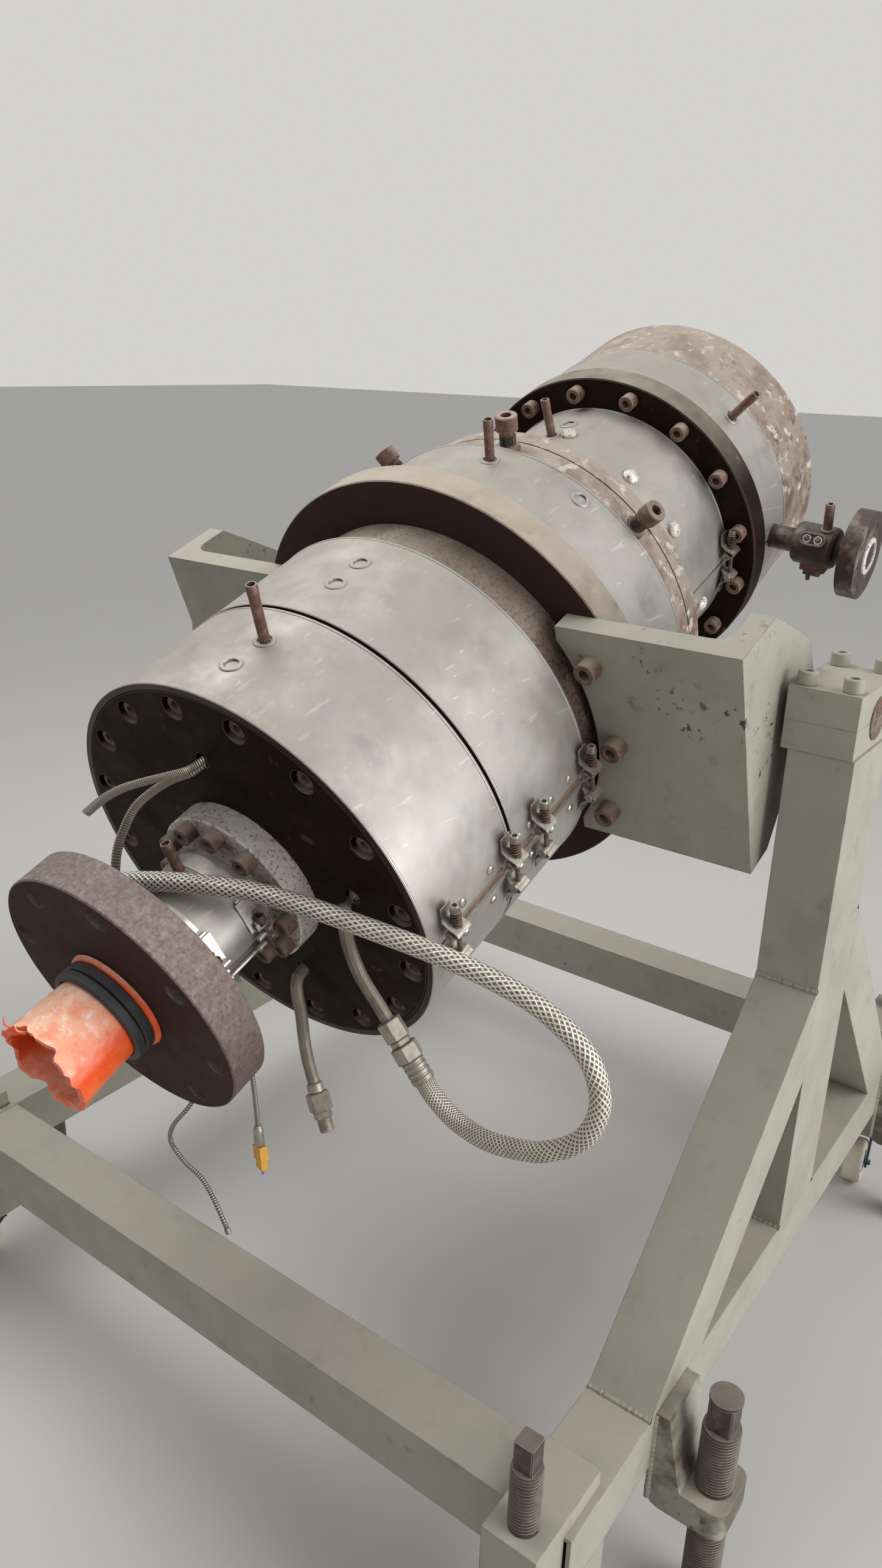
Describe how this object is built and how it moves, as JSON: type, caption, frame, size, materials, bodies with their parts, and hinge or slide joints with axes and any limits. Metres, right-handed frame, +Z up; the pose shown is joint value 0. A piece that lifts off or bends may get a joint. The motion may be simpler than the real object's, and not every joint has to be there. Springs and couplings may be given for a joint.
{
  "type": "pipe extrusion die head on a trunnion trolley",
  "caption": "Plastic pipe extrusion die head with heater bands, held by trunnions on a welded steel trolley with jack screws and swivel casters.",
  "frame": {"origin": "on the floor under the middle of the outline", "axes": "+Z up, +Y along the die towards the outlet, +X to the right seen from the inlet"},
  "size_m": [1.634, 1.8543, 1.8082],
  "materials": {
    "frame_paint": "worn matt grey-green paint, dusty",
    "rust_screw": "dark rusty screw steel",
    "bracket_paint": "worn grey-green paint over steel",
    "orange_plastic": "torn orange polyethylene",
    "black_ring": "black ring",
    "rusty_flange": "speckled purple-brown rust",
    "rusty_steel": "rusty machined steel",
    "dark_steel": "dark brown oxidised steel",
    "band_steel": "dusty stainless sheet",
    "clamp_steel": "dull spring and clamp steel",
    "nylon_white": "cream nylon",
    "zinc_fork": "dull zinc plate",
    "braid": "braided stainless hose"
  },
  "bodies": {
    "trolley": {"side_beams": "frame_paint", "cross_beams": "frame_paint", "posts": "frame_paint", "legs": "frame_paint", "bearing_bases": "frame_paint", "bearing_caps": "frame_paint", "corner_blocks": "frame_paint", "corner_screws": "rust_screw", "jack_brackets": "frame_paint", "jack_screws": "rust_screw", "caster_legs": "frame_paint"},
    "die": {"inlet_sleeve": "orange_plastic", "sleeve_rings": "black_ring", "inlet_flange": "rusty_flange", "inlet_adapter": "rusty_steel", "neck_heater": "band_steel", "front_cover": "dark_steel", "die_body": "rusty_steel", "heater_band_1": "band_steel", "heater_band_2": "band_steel", "seam_strips": "rusty_steel", "seam_clamps": "clamp_steel", "clamp_springs": "clamp_steel", "main_flange": "dark_steel", "trunnion_brackets": "bracket_paint", "trunnion_shafts": "rusty_steel", "heater_band_3": "band_steel", "centering_ring": "rusty_steel", "centering_screws": "rusty_steel", "outlet_neck": "rusty_steel", "heater_band_4": "band_steel", "outlet_flange": "dark_steel", "heater_band_5": "band_steel", "outlet_ring": "rusty_steel", "mandrel": "rusty_steel", "side_adapter": "rusty_flange", "thermocouples": "rusty_steel", "cover_pipes": "rusty_steel", "braided_hose": "braid", "armoured_cable_1": "clamp_steel", "armoured_cable_2": "clamp_steel", "flat_lead_1": "clamp_steel", "flat_lead_2": "clamp_steel", "cord_fittings": "clamp_steel"},
    "fork_front_right": {"fork_front_right": "zinc_fork"},
    "wheel_front_right": {"wheel_front_right": "nylon_white"},
    "fork_front_left": {"fork_front_left": "zinc_fork"},
    "wheel_front_left": {"wheel_front_left": "nylon_white"},
    "fork_rear_right": {"fork_rear_right": "zinc_fork"},
    "wheel_rear_right": {"wheel_rear_right": "nylon_white"},
    "fork_rear_left": {"fork_rear_left": "zinc_fork"},
    "wheel_rear_left": {"wheel_rear_left": "nylon_white"}
  },
  "joints": [
    {"name": "die_tilt", "type": "hinge", "parent": "trolley", "child": "die", "pos_m": [0, 0.10177, 1.25], "axis": [1, 0, 0], "range_deg": [-21, 14]},
    {"name": "swivel_front_right", "type": "hinge", "parent": "trolley", "child": "fork_front_right", "pos_m": [0.652, -0.63623, 0.053], "axis": [0, 0, 1], "continuous": true},
    {"name": "roll_front_right", "type": "hinge", "parent": "fork_front_right", "child": "wheel_front_right", "pos_m": [0.672, -0.60159, 0.053], "axis": [-0.866, 0.5, 0], "continuous": true},
    {"name": "swivel_front_left", "type": "hinge", "parent": "trolley", "child": "fork_front_left", "pos_m": [-0.652, -0.63623, 0.053], "axis": [0, 0, 1], "continuous": true},
    {"name": "roll_front_left", "type": "hinge", "parent": "fork_front_left", "child": "wheel_front_left", "pos_m": [-0.67016, -0.67187, 0.053], "axis": [0.891, -0.454, 0], "continuous": true},
    {"name": "swivel_rear_right", "type": "hinge", "parent": "trolley", "child": "fork_rear_right", "pos_m": [0.652, 0.73377, 0.053], "axis": [0, 0, 1], "continuous": true},
    {"name": "roll_rear_right", "type": "hinge", "parent": "fork_rear_right", "child": "wheel_rear_right", "pos_m": [0.65757, 0.69416, 0.053], "axis": [0.9903, 0.1392, 0], "continuous": true},
    {"name": "swivel_rear_left", "type": "hinge", "parent": "trolley", "child": "fork_rear_left", "pos_m": [-0.652, 0.73377, 0.053], "axis": [0, 0, 1], "continuous": true},
    {"name": "roll_rear_left", "type": "hinge", "parent": "fork_rear_left", "child": "wheel_rear_left", "pos_m": [-0.66568, 0.77136, 0.053], "axis": [-0.9397, -0.342, 0], "continuous": true}
  ]
}
